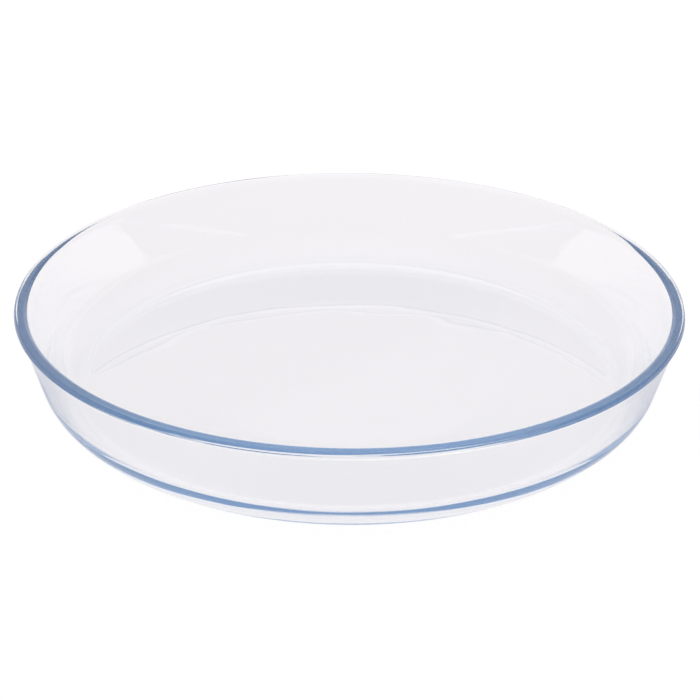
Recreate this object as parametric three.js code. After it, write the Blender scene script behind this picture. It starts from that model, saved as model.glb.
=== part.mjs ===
// Round baking dish, pressed in one piece from clear glass.
// Millimetres, +Z up, origin on the table under the middle of the base.
import * as THREE from "three";

// Driving dimensions
const RIM_DIAMETER = 280; // across the outside of the lip
const HEIGHT = 42; // table to the top of the rim
const WALL_THICKNESS = 4.2; // square to the wall
const WALL_FLARE = THREE.MathUtils.degToRad(14.7); // lean of the wall, outwards from upright
const BASE_THICKNESS = 4.2; // glass under the inside floor
const OUTER_HEEL_FOOT_RADIUS = 16.8; // outside curve where it leaves the foot ring
const OUTER_HEEL_WALL_RADIUS = 19; // outside curve where it runs into the wall
const OUTER_HEEL_TURN = THREE.MathUtils.degToRad(36); // how far the first of these two turns
const INNER_HEEL_FLOOR_RADIUS = 20; // inside curve where it leaves the floor
const INNER_HEEL_WALL_RADIUS = 11.2; // inside curve where it runs into the wall
const INNER_HEEL_TURN = THREE.MathUtils.degToRad(48); // how far the first of these two turns
const LIP_OVERHANG = 1.1; // how far the lip stands out past the wall
const LIP_CORNER_RADIUS = 0.8; // rounded edge between the top of the rim and the lip's face
const LIP_FACE_RADIUS = 4.5; // gentle curve of the lip's outer face
const LIP_FACE_TOP = THREE.MathUtils.degToRad(26); // tilt of the face from upright where it meets the corner
const LIP_FACE_FOOT = THREE.MathUtils.degToRad(10); // tilt of the face from upright at its lower end
const LIP_UNDER_RADIUS = 0.7; // rounded edge under the face
const LIP_FILLET = 1.8; // hollow under the lip, where it runs into the wall
const RIM_INNER_RADIUS = 2.1; // rounded inner edge of the rim
const FOOT_WIDTH = 3; // flat ring that the dish stands on
const FOOT_HEIGHT = 0.3; // how far the base is recessed inside that ring
const FOOT_SLOPE = 12; // run of the slope from the ring up to the recess

// Facets of the round stretches
const TURN_STEPS = 96;
const HEEL_STEPS = 5;
const LIP_CORNER_STEPS = 4;
const LIP_FACE_STEPS = 3;
const LIP_UNDER_STEPS = 5;
const FILLET_STEPS = 4;
const RIM_INNER_STEPS = 5;

// Places that follow from the dimensions, in the plane of the section: x is the radius, y the height
const RIM_RADIUS = RIM_DIAMETER / 2;
const FLOOR_HEIGHT = FOOT_HEIGHT + BASE_THICKNESS;
const UP = new THREE.Vector2(Math.sin(WALL_FLARE), Math.cos(WALL_FLARE)); // along the wall
const OUT = new THREE.Vector2(Math.cos(WALL_FLARE), -Math.sin(WALL_FLARE)); // square to the wall
const RIGHT_ANGLE = Math.PI / 2;

function arc(centre, radius, from, to, steps) {
  const points = [];
  for (let step = 0; step <= steps; step += 1) {
    const angle = THREE.MathUtils.lerp(from, to, step / steps);
    const x = centre.x + radius * Math.cos(angle);
    const y = centre.y + radius * Math.sin(angle);
    points.push(new THREE.Vector2(x, y));
  }
  return points;
}

function fromCentre(centre, distance, angle) {
  return new THREE.Vector2(Math.cos(angle), Math.sin(angle)).multiplyScalar(distance).add(centre);
}

// The point at a given height on a line parallel to the wall, at a given distance outside a point of it
function besideWall(pointOnWall, distance, height) {
  const start = pointOnWall.clone().addScaledVector(OUT, distance);
  return start.addScaledVector(UP, (height - start.y) / UP.y);
}

// Underside: the recessed base, its slope and the flat ring, out to the start of the heel
function underside(heelStart) {
  const ringInside = heelStart - FOOT_WIDTH;
  return [
    new THREE.Vector2(0, FOOT_HEIGHT),
    new THREE.Vector2(ringInside - FOOT_SLOPE, FOOT_HEIGHT),
    new THREE.Vector2(ringInside, 0),
  ];
}

// A heel from its level start to the wall: an arc through an angle, then another up to the wall
function heel(pointOnWall, level, startRadius, turn, endRadius) {
  const bend = turn - RIGHT_ANGLE;
  const first = arc(new THREE.Vector2(0, level + startRadius), startRadius, -RIGHT_ANGLE, bend, HEEL_STEPS);
  const endCentre = fromCentre(first[HEEL_STEPS], -endRadius, bend);
  const points = [...first, ...arc(endCentre, endRadius, bend, -WALL_FLARE, HEEL_STEPS).slice(1)];
  const top = points[points.length - 1];
  const shift = besideWall(pointOnWall, 0, top.y).x - top.x;
  return points.map((point) => new THREE.Vector2(point.x + shift, point.y));
}

// Centres of the three arcs of the lip's edge, which run smoothly into each other
function lipCentres() {
  const under = new THREE.Vector2(RIM_RADIUS - LIP_UNDER_RADIUS, 0);
  const face = fromCentre(under, LIP_UNDER_RADIUS - LIP_FACE_RADIUS, LIP_FACE_FOOT);
  const corner = fromCentre(face, LIP_FACE_RADIUS - LIP_CORNER_RADIUS, LIP_FACE_TOP);
  const lift = HEIGHT - LIP_CORNER_RADIUS - corner.y;
  for (const centre of [under, face, corner]) {
    centre.y += lift;
  }
  return { under, face, corner };
}

// Hollow under the lip, touching the wall and the lip's edge, and then that edge up to the top
function lip(wallPoint, { under, face, corner }) {
  const reach = LIP_UNDER_RADIUS + LIP_FILLET;
  const start = wallPoint.clone().addScaledVector(OUT, LIP_FILLET);
  const offset = start.clone().sub(under);
  const along = offset.dot(UP);
  const drop = along + Math.sqrt(along * along + reach * reach - offset.lengthSq());
  const filletCentre = start.addScaledVector(UP, -drop);
  const meeting = under.clone().sub(filletCentre).angle();
  return [
    ...arc(filletCentre, LIP_FILLET, Math.PI - WALL_FLARE, meeting, FILLET_STEPS),
    ...arc(under, LIP_UNDER_RADIUS, meeting - Math.PI, LIP_FACE_FOOT, LIP_UNDER_STEPS).slice(1),
    ...arc(face, LIP_FACE_RADIUS, LIP_FACE_FOOT, LIP_FACE_TOP, LIP_FACE_STEPS).slice(1),
    ...arc(corner, LIP_CORNER_RADIUS, LIP_FACE_TOP, RIGHT_ANGLE, LIP_CORNER_STEPS).slice(1),
  ];
}

// Half section of the dish, from the axis under the base, round the outside and back to the axis on the floor
function section() {
  const centres = lipCentres();
  const outerWall = new THREE.Vector2(RIM_RADIUS - LIP_OVERHANG, centres.under.y);
  const innerWall = outerWall.clone().addScaledVector(OUT, -WALL_THICKNESS);
  const outerHeel = heel(outerWall, 0, OUTER_HEEL_FOOT_RADIUS, OUTER_HEEL_TURN, OUTER_HEEL_WALL_RADIUS);
  const innerHeel = heel(innerWall, FLOOR_HEIGHT, INNER_HEEL_FLOOR_RADIUS, INNER_HEEL_TURN, INNER_HEEL_WALL_RADIUS);
  const rimInner = besideWall(innerWall, RIM_INNER_RADIUS, HEIGHT - RIM_INNER_RADIUS);
  return [
    ...underside(outerHeel[0].x),
    ...outerHeel,
    ...lip(outerWall, centres),
    ...arc(rimInner, RIM_INNER_RADIUS, RIGHT_ANGLE, Math.PI - WALL_FLARE, RIM_INNER_STEPS),
    ...innerHeel.reverse(),
    new THREE.Vector2(0, FLOOR_HEIGHT),
  ];
}

function glassDish() {
  const geometry = new THREE.LatheGeometry(section(), TURN_STEPS);
  geometry.rotateX(RIGHT_ANGLE);
  const glass = new THREE.MeshStandardMaterial({ color: 0xe6ebf2, roughness: 0.04, metalness: 0 });
  glass.name = "clear_glass";
  const mesh = new THREE.Mesh(geometry, glass);
  mesh.name = "glass_dish";
  return mesh;
}

const bakingDish = new THREE.Group();
bakingDish.name = "round_baking_dish";
bakingDish.add(glassDish());

export default bakingDish;
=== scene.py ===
"""Round baking dish in clear pressed glass, on a white table in plain studio light."""
import math

import bpy
import numpy as np
from mathutils import Matrix, Vector


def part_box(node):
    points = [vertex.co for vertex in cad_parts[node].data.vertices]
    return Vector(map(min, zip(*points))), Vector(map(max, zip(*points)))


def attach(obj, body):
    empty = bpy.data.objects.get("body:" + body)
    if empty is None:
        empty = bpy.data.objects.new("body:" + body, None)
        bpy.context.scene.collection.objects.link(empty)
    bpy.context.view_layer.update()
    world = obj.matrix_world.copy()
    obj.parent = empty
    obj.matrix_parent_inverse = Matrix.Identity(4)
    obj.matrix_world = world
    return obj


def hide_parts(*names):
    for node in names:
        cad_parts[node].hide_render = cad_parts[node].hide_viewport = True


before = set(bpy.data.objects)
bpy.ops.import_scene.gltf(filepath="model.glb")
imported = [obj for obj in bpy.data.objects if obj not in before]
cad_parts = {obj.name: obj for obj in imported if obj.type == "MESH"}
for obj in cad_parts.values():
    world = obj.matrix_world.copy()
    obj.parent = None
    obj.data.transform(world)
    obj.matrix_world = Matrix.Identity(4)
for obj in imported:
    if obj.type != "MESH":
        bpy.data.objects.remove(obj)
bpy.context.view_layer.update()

MM = 0.001
RIGHT_ANGLE = math.pi / 2

# Sizes of the dish: as in the solid, with the outside taken from the frame and a flatter underside
NODE = "glass_dish"
NODE_LOW, NODE_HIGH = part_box(NODE)
RIM_RADIUS = (NODE_HIGH.x - NODE_LOW.x) / 2
HEIGHT = NODE_HIGH.z
WALL_THICKNESS = 4.2 * MM
WALL_FLARE = math.radians(14.7)
FLOOR_HEIGHT = 4.5 * MM
OUTER_HEEL_RADII = (16.8 * MM, 19 * MM)  # by the foot ring, and by the wall
OUTER_HEEL_TURN = math.radians(36)  # how far the first of these turns
INNER_HEEL_RADII = (20 * MM, 11.2 * MM)  # by the floor, and by the wall
INNER_HEEL_TURN = math.radians(48)
LIP_OVERHANG = 1.1 * MM
LIP_CORNER_RADIUS = 0.8 * MM
LIP_FACE_RADIUS = 4.5 * MM
LIP_UNDER_RADIUS = 0.7 * MM
LIP_FACE_TOP = math.radians(26)
LIP_FACE_FOOT = math.radians(10)
LIP_FILLET = 1.8 * MM
RIM_INNER_RADIUS = 2.1 * MM
FOOT_WIDTH = 3 * MM
UNDERSIDE_RISE = 0.05 * MM

# Fineness of the glass surface
TURN_STEPS = 384
HEEL_STEPS = 48
LIP_STEPS = 20
FILLET_STEPS = 12
RIM_INNER_STEPS = 14
UNDERSIDE_STEPS = 32
LONGEST_STEP = 2.5 * MM
RIM_STEP = 0.12 * MM
RIM_DEPTH = 6 * MM  # how far below the top the rim's step is used

# Glass: clear, with its tint in the depth
GLASS_COLOUR = (1.0, 1.0, 1.0, 1.0)
GLASS_IOR = 1.5
GLASS_TINT = (0.45, 0.66, 0.86, 1.0)
GLASS_DENSITY = 7.5

# Faint wipe marks on the glass: patches, a little duller than the rest
SMUDGE_SCALE = 28.0
SMUDGE_DETAIL = 6.0
SMUDGE_START = 0.5
SMUDGE_END = 0.75
SMUDGE_ROUGHNESS = 0.03

# Gentle waves left in the surface by the mould: one height, many lengths
WAVE_HEIGHT = 0.02 * MM
WAVE_SHORTEST = 9 * MM
WAVE_LONGEST = 45 * MM
WAVE_COUNT = 40
WAVE_SEED = 7

# Fine lines round the outer edge of the lip, left by the mould and the fire polish
LINE_REACH = 2.5 * MM
LINE_HEIGHT = 0.1 * MM
LINE_SHORTEST = 0.7 * MM
LINE_LONGEST = 2.0 * MM
LINE_COUNT = 8
LINE_MOST_TURNS = 9
LINE_SEED = 11

# Table
TABLE_SIZE = 20.0
TABLE_DROP = 0.2 * MM
TABLE_SEEN_MATT = (0.15, 0.15, 0.15, 1.0)
TABLE_SEEN_GLOW = (0.93, 0.93, 0.93, 1.0)
TABLE_GLASS_MATT = (0.35, 0.341, 0.345, 1.0)
TABLE_GLASS_GLOW = (0.752, 0.733, 0.75, 1.0)

# Painted soft shade of the dish on the table, as the glass shows it: rings that rise, hold and ease off
SHADE_COLOUR = (0.0, 0.07, 0.2, 1.0)
HEEL_SHADE = 0.055
HEEL_SHADE_RING = (65 * MM, 72 * MM, 104 * MM, 112 * MM)
SIDE_SHADE = 0.33
SIDE_SHADE_RING = (112 * MM, 140 * MM, 160 * MM, 200 * MM)
SIDE_SHADE_NARROWING = 2.0
NEAR_EDGE = 25 * MM  # half the width of the change from the far to the near side

# Light: a white room, brightest behind the dish and low down there, a little darker on the right
SKY_COLOUR = (1.0, 0.98, 0.99, 1.0)
SKY_LEVEL = 0.24
SKY_BEHIND = 0.61
SKY_ABOVE = 0.6
SKY_RIGHT = -0.05
SKY_LOW = 0.4
SKY_LOW_TOP = (0.32, 0.42)
LIGHT_BOUNCES = 128

# Camera, in the photograph's frame
FRAME_PIXELS = 700
SENSOR_WIDTH = 36.0
FOCAL_PIXELS = 1488.0
CAMERA_ELEVATION = math.radians(26.722)
CAMERA_DISTANCE = 645.96 * MM
CAMERA_AIM = Vector((0.327 * MM, 0.0, 11.249 * MM))
CAMERA_ROLL = 0.00704

# Directions in the plane of the section: along the wall, and square to it
UP = np.array([math.sin(WALL_FLARE), math.cos(WALL_FLARE)])
OUT = np.array([math.cos(WALL_FLARE), -math.sin(WALL_FLARE)])


def arc(centre, radius, start, end, steps):
    angles = np.linspace(start, end, steps + 1)
    return centre + radius * np.stack([np.cos(angles), np.sin(angles)], axis=-1)


def beside_wall(point_on_wall, distance, height):
    """The point at a height on a line parallel to the wall, at a distance outside a point of it."""
    start = point_on_wall + OUT * distance
    return start + UP * (height - start[1]) / UP[1]


def underside(ring_inside):
    """The base's underside, which rises gently from the foot ring to the middle."""
    across = np.linspace(0, 1, UNDERSIDE_STEPS + 1)
    rise = UNDERSIDE_RISE * (1 - across ** 2 * (3 - 2 * across))
    return np.stack([ring_inside * across, rise], axis=-1)


def from_centre(centre, distance, angle):
    return centre + distance * np.array([math.cos(angle), math.sin(angle)])


def lip_centres():
    """Centres of the three arcs of the lip's edge, which run into each other: under, face and corner."""
    face_inward = LIP_FACE_RADIUS - LIP_UNDER_RADIUS
    corner_outward = LIP_FACE_RADIUS - LIP_CORNER_RADIUS
    under = np.zeros(2)
    face = from_centre(under, -face_inward, LIP_FACE_FOOT)
    corner = from_centre(face, corner_outward, LIP_FACE_TOP)
    shift = np.array([RIM_RADIUS - LIP_UNDER_RADIUS, HEIGHT - LIP_CORNER_RADIUS - corner[1]])
    return under + shift, face + shift, corner + shift


def lip(wall_point, under, face, corner):
    """The hollow under the lip, and the lip's edge up to the top of the rim."""
    reach = LIP_UNDER_RADIUS + LIP_FILLET
    start = wall_point + OUT * LIP_FILLET
    offset = start - under
    along = offset @ UP
    drop = along + math.sqrt(along ** 2 + reach ** 2 - offset @ offset)
    fillet_centre = start - UP * drop
    across, up = under - fillet_centre
    meeting = math.atan2(up, across)
    return np.concatenate([
        arc(fillet_centre, LIP_FILLET, math.pi - WALL_FLARE, meeting, FILLET_STEPS),
        arc(under, LIP_UNDER_RADIUS, meeting - math.pi, LIP_FACE_FOOT, LIP_STEPS)[1:],
        arc(face, LIP_FACE_RADIUS, LIP_FACE_FOOT, LIP_FACE_TOP, LIP_STEPS)[1:],
        arc(corner, LIP_CORNER_RADIUS, LIP_FACE_TOP, RIGHT_ANGLE, LIP_STEPS)[1:],
    ])


def heel(point_on_wall, level, radii, turn):
    """From the level underside or floor up to the wall: one arc through an angle, then another."""
    low_radius, high_radius = radii
    bend = turn - RIGHT_ANGLE
    low = arc(np.array([0, level + low_radius]), low_radius, -RIGHT_ANGLE, bend, HEEL_STEPS)
    high_centre = from_centre(low[-1], -high_radius, bend)
    high = arc(high_centre, high_radius, bend, -WALL_FLARE, HEEL_STEPS)
    points = np.concatenate([low, high[1:]])
    meeting = beside_wall(point_on_wall, 0, points[-1, 1])
    return points + np.array([meeting[0] - points[-1, 0], 0])


def section():
    """Half section, from the axis under the base, round the outside and back to the axis on the floor."""
    under, face, corner = lip_centres()
    outer_wall = np.array([RIM_RADIUS - LIP_OVERHANG, under[1]])
    inner_wall = outer_wall - OUT * WALL_THICKNESS
    outer_heel = heel(outer_wall, 0, OUTER_HEEL_RADII, OUTER_HEEL_TURN)
    inner_heel = heel(inner_wall, FLOOR_HEIGHT, INNER_HEEL_RADII, INNER_HEEL_TURN)
    rim_inner = beside_wall(inner_wall, RIM_INNER_RADIUS, HEIGHT - RIM_INNER_RADIUS)
    return np.concatenate([
        underside(outer_heel[0, 0] - FOOT_WIDTH),
        outer_heel,
        lip(outer_wall, under, face, corner),
        arc(rim_inner, RIM_INNER_RADIUS, RIGHT_ANGLE, math.pi - WALL_FLARE, RIM_INNER_STEPS),
        inner_heel[::-1],
        [[0, FLOOR_HEIGHT]],
    ])


def refined(profile):
    """The profile with extra points, so that its steps are short, and shortest at the rim."""
    points = [profile[:1]]
    for start, end in zip(profile[:-1], profile[1:]):
        at_rim = min(start[1], end[1]) > HEIGHT - RIM_DEPTH
        longest = RIM_STEP if at_rim else LONGEST_STEP
        count = max(1, math.ceil(np.linalg.norm(end - start) / longest))
        share = np.linspace(0, 1, count + 1)[1:, None]
        points.append(start + (end - start) * share)
    return np.concatenate(points)


def waves(points):
    """A smooth random height at each point, from many plane waves of different lengths and directions."""
    random = np.random.default_rng(WAVE_SEED)
    total = np.zeros(points.shape[:-1])
    for _ in range(WAVE_COUNT):
        direction = random.normal(size=3)
        direction /= np.linalg.norm(direction)
        length = random.uniform(WAVE_SHORTEST, WAVE_LONGEST)
        phase = random.uniform(0, 2 * math.pi)
        total += length / WAVE_LONGEST * np.sin(points @ direction * 2 * math.pi / length + phase)
    return total * WAVE_HEIGHT / math.sqrt(WAVE_COUNT)


def rim_lines(profile, angles):
    """Heights of fine lines that run round the lip, each fading in and out on its way."""
    random = np.random.default_rng(LINE_SEED)
    steps = np.linalg.norm(np.diff(profile, axis=0), axis=1)
    along = np.cumsum(steps)[:-1, None]
    inward = RIM_RADIUS - profile[1:-1, :1]
    near_edge = np.clip(1 - inward / LINE_REACH, 0, 1)
    total = np.zeros((len(along), len(angles)))
    for _ in range(LINE_COUNT):
        length = random.uniform(LINE_SHORTEST, LINE_LONGEST)
        turns = random.integers(1, LINE_MOST_TURNS + 1)
        phase, fade = random.uniform(0, 2 * math.pi, size=2)
        strength = np.sin(turns * angles + fade)
        total += length / LINE_LONGEST * strength * np.sin(along * 2 * math.pi / length + phase)
    return total * near_edge * LINE_HEIGHT / math.sqrt(LINE_COUNT)


def section_normals(profile):
    """Outward directions at the inner points of the profile, in the plane of the section."""
    along = profile[2:] - profile[:-2]
    across = np.stack([along[:, 1], -along[:, 0]], axis=-1)
    return across / np.linalg.norm(across, axis=-1, keepdims=True)


def turned_mesh(name, profile):
    """A closed, gently wavy mesh of the profile turned about Z; both its ends lie on the axis."""
    angles = np.linspace(0, 2 * math.pi, TURN_STEPS, endpoint=False)
    rings = profile[1:-1]
    turn = np.stack([np.cos(angles), np.sin(angles)], axis=-1)

    def turned(flat):
        level = flat[:, 0, None, None] * turn
        height = np.broadcast_to(flat[:, 1, None, None], (len(flat), TURN_STEPS, 1))
        return np.concatenate([level, height], axis=-1)

    smooth = turned(rings)
    height = waves(smooth) + rim_lines(profile, angles)
    points = (smooth + turned(section_normals(profile)) * height[..., None]).reshape(-1, 3)
    bottom = len(points)
    top = bottom + 1
    poles = np.array([[0, 0, profile[0, 1]], [0, 0, profile[-1, 1]]])
    here = np.arange(TURN_STEPS)
    following = np.roll(here, -1)
    faces = [(bottom, b, a) for a, b in zip(here.tolist(), following.tolist())]
    for ring in range(len(rings) - 1):
        low = ring * TURN_STEPS
        high = low + TURN_STEPS
        quads = np.stack([low + here, low + following, high + following, high + here], axis=-1)
        faces.extend(map(tuple, quads.tolist()))
    last = (len(rings) - 1) * TURN_STEPS
    faces.extend((last + a, last + b, top) for a, b in zip(here.tolist(), following.tolist()))
    mesh = bpy.data.meshes.new(name)
    mesh.from_pydata(np.concatenate([points, poles]).tolist(), [], faces)
    mesh.shade_smooth()
    return mesh


def add_object(name, data):
    obj = bpy.data.objects.new(name, data)
    bpy.context.scene.collection.objects.link(obj)
    return obj


def calculate(tree, operation, first, second):
    """A Math node's output; each of its two inputs is a number or another node's output."""
    node = tree.nodes.new("ShaderNodeMath")
    node.operation = operation
    for socket, value in zip(node.inputs, (first, second)):
        if isinstance(value, bpy.types.NodeSocket):
            tree.links.new(value, socket)
        else:
            socket.default_value = value
    return node.outputs["Value"]


def smooth_step(tree, value, start, end):
    """A smooth change from 0 to 1 as a value goes from its start to its end."""
    node = tree.nodes.new("ShaderNodeMapRange")
    node.interpolation_type = "SMOOTHSTEP"
    node.inputs["From Min"].default_value = start
    node.inputs["From Max"].default_value = end
    tree.links.new(value, node.inputs["Value"])
    return node.outputs["Result"]


def smudges(tree):
    """Roughness of the glass: none, but for faint patches left by wiping."""
    place = tree.nodes.new("ShaderNodeTexCoord")
    noise = tree.nodes.new("ShaderNodeTexNoise")
    noise.inputs["Scale"].default_value = SMUDGE_SCALE
    noise.inputs["Detail"].default_value = SMUDGE_DETAIL
    tree.links.new(place.outputs["Object"], noise.inputs["Vector"])
    patches = smooth_step(tree, noise.outputs["Fac"], SMUDGE_START, SMUDGE_END)
    return calculate(tree, "MULTIPLY", patches, SMUDGE_ROUGHNESS)


def clear_glass():
    material = bpy.data.materials.new("clear_glass")
    material.use_nodes = True
    tree = material.node_tree
    shader = tree.nodes["Principled BSDF"]
    shader.inputs["Base Color"].default_value = GLASS_COLOUR
    tree.links.new(smudges(tree), shader.inputs["Roughness"])
    shader.inputs["IOR"].default_value = GLASS_IOR
    shader.inputs["Transmission Weight"].default_value = 1.0
    tint = tree.nodes.new("ShaderNodeVolumeAbsorption")
    tint.inputs["Color"].default_value = GLASS_TINT
    tint.inputs["Density"].default_value = GLASS_DENSITY
    tree.links.new(tint.outputs["Volume"], tree.nodes["Material Output"].inputs["Volume"])
    return material


def ring(tree, radius, radii):
    """1 between the middle two of four radii, easing to 0 at the inner and the outer one."""
    start, full, easing, end = radii
    rising = smooth_step(tree, radius, start, full)
    return calculate(tree, "SUBTRACT", rising, smooth_step(tree, radius, easing, end))


def shaded_glow(tree):
    """The table's own light, with the dish's shade painted into its colour: under its heel, and beside
    its near half.
    """
    place = tree.nodes.new("ShaderNodeNewGeometry")
    split = tree.nodes.new("ShaderNodeSeparateXYZ")
    tree.links.new(place.outputs["Position"], split.inputs["Vector"])
    across, along, _ = split.outputs
    squares = [calculate(tree, "MULTIPLY", side, side) for side in (across, along)]
    total = calculate(tree, "ADD", *squares)
    radius = calculate(tree, "SQRT", total, 0.0)
    sideways, lengthways = (calculate(tree, "DIVIDE", square, total) for square in squares)
    under_heel = calculate(tree, "MULTIPLY", ring(tree, radius, HEEL_SHADE_RING), lengthways)
    heel_shade = calculate(tree, "MULTIPLY", under_heel, HEEL_SHADE)
    near = smooth_step(tree, along, NEAR_EDGE, -NEAR_EDGE)
    narrow = calculate(tree, "POWER", sideways, SIDE_SHADE_NARROWING)
    beside = calculate(tree, "MULTIPLY", ring(tree, radius, SIDE_SHADE_RING), near)
    beside = calculate(tree, "MULTIPLY", beside, narrow)
    side_shade = calculate(tree, "MULTIPLY", beside, SIDE_SHADE)
    shade = calculate(tree, "ADD", heel_shade, side_shade)
    colour = tree.nodes.new("ShaderNodeMixRGB")
    colour.inputs["Color1"].default_value = TABLE_GLASS_GLOW
    colour.inputs["Color2"].default_value = SHADE_COLOUR
    tree.links.new(shade, colour.inputs["Fac"])
    return colour.outputs["Color"]


def matt_and_glow(tree, matt_colour, glow_colour):
    """A matt surface that also gives off some light of its own, in a colour or a node's output."""
    matt = tree.nodes.new("ShaderNodeBsdfDiffuse")
    matt.inputs["Color"].default_value = matt_colour
    glow = tree.nodes.new("ShaderNodeEmission")
    if isinstance(glow_colour, bpy.types.NodeSocket):
        tree.links.new(glow_colour, glow.inputs["Color"])
    else:
        glow.inputs["Color"].default_value = glow_colour
    both = tree.nodes.new("ShaderNodeAddShader")
    tree.links.new(matt.outputs["BSDF"], both.inputs[0])
    tree.links.new(glow.outputs["Emission"], both.inputs[1])
    return both.outputs["Shader"]


def white_table():
    """Plain white where the camera sees it, and where the glass shows it a white that takes real shade in
    its matt part and painted shade in its glow.
    """
    material = bpy.data.materials.new("white_table")
    material.use_nodes = True
    tree = material.node_tree
    tree.nodes.clear()
    output = tree.nodes.new("ShaderNodeOutputMaterial")
    path = tree.nodes.new("ShaderNodeLightPath")
    mirrored = path.outputs["Is Glossy Ray"]
    refracted = path.outputs["Is Transmission Ray"]
    in_glass = calculate(tree, "MAXIMUM", mirrored, refracted)
    choice = tree.nodes.new("ShaderNodeMixShader")
    tree.links.new(in_glass, choice.inputs["Fac"])
    plain = matt_and_glow(tree, TABLE_SEEN_MATT, TABLE_SEEN_GLOW)
    shaded = matt_and_glow(tree, TABLE_GLASS_MATT, shaded_glow(tree))
    tree.links.new(plain, choice.inputs[1])
    tree.links.new(shaded, choice.inputs[2])
    tree.links.new(choice.outputs["Shader"], output.inputs["Surface"])
    return material


def make_dish():
    dish = add_object("dish_glass", turned_mesh("dish_glass", refined(section())))
    dish.data.materials.append(clear_glass())
    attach(dish, "root")
    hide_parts(NODE)


def make_table():
    half = TABLE_SIZE / 2
    corners = [(-half, -half, 0), (half, -half, 0), (half, half, 0), (-half, half, 0)]
    mesh = bpy.data.meshes.new("table")
    mesh.from_pydata(corners, [], [(0, 1, 2, 3)])
    table = add_object("table", mesh)
    table.location.z = NODE_LOW.z - TABLE_DROP
    table.data.materials.append(white_table())


def make_sky():
    world = bpy.data.worlds.new("studio")
    bpy.context.scene.world = world
    world.use_nodes = True
    tree = world.node_tree
    background = tree.nodes["Background"]
    background.inputs["Color"].default_value = SKY_COLOUR
    place = tree.nodes.new("ShaderNodeTexCoord")
    split = tree.nodes.new("ShaderNodeSeparateXYZ")
    tree.links.new(place.outputs["Generated"], split.inputs["Vector"])
    right, back, above = split.outputs
    away = calculate(tree, "MAXIMUM", back, 0.0)
    behind = calculate(tree, "MULTIPLY", away, away)
    low_full, low_none = SKY_LOW_TOP
    low = smooth_step(tree, above, low_none, low_full)
    lobes = (
        (behind, SKY_BEHIND),
        (calculate(tree, "MULTIPLY", above, above), SKY_ABOVE),
        (right, SKY_RIGHT),
        (calculate(tree, "MULTIPLY", behind, low), SKY_LOW),
    )
    level = SKY_LEVEL
    for share, gain in lobes:
        level = calculate(tree, "ADD", level, calculate(tree, "MULTIPLY", share, gain))
    tree.links.new(level, background.inputs["Strength"])


def make_camera():
    data = bpy.data.cameras.new("photo_view")
    data.sensor_width = SENSOR_WIDTH
    data.lens = SENSOR_WIDTH * FOCAL_PIXELS / FRAME_PIXELS
    camera = add_object("photo_view", data)
    back = Vector((0, -math.cos(CAMERA_ELEVATION), math.sin(CAMERA_ELEVATION)))
    right = Vector((1, 0, 0))
    up = back.cross(right)
    turned_right = right * math.cos(CAMERA_ROLL) + up * math.sin(CAMERA_ROLL)
    turned_up = back.cross(turned_right)
    pose = Matrix((turned_right, turned_up, back)).transposed().to_4x4()
    pose.translation = CAMERA_AIM + back * CAMERA_DISTANCE
    camera.matrix_world = pose
    bpy.context.scene.camera = camera


def set_render():
    """Plain colours, and enough bounces for light that is guided a long way inside the glass."""
    scene = bpy.context.scene
    scene.view_settings.view_transform = "Standard"
    scene.cycles.max_bounces = LIGHT_BOUNCES
    scene.cycles.transmission_bounces = LIGHT_BOUNCES
    scene.cycles.glossy_bounces = LIGHT_BOUNCES
    scene.cycles.use_denoising = True


make_camera()
make_dish()
make_table()
make_sky()
set_render()
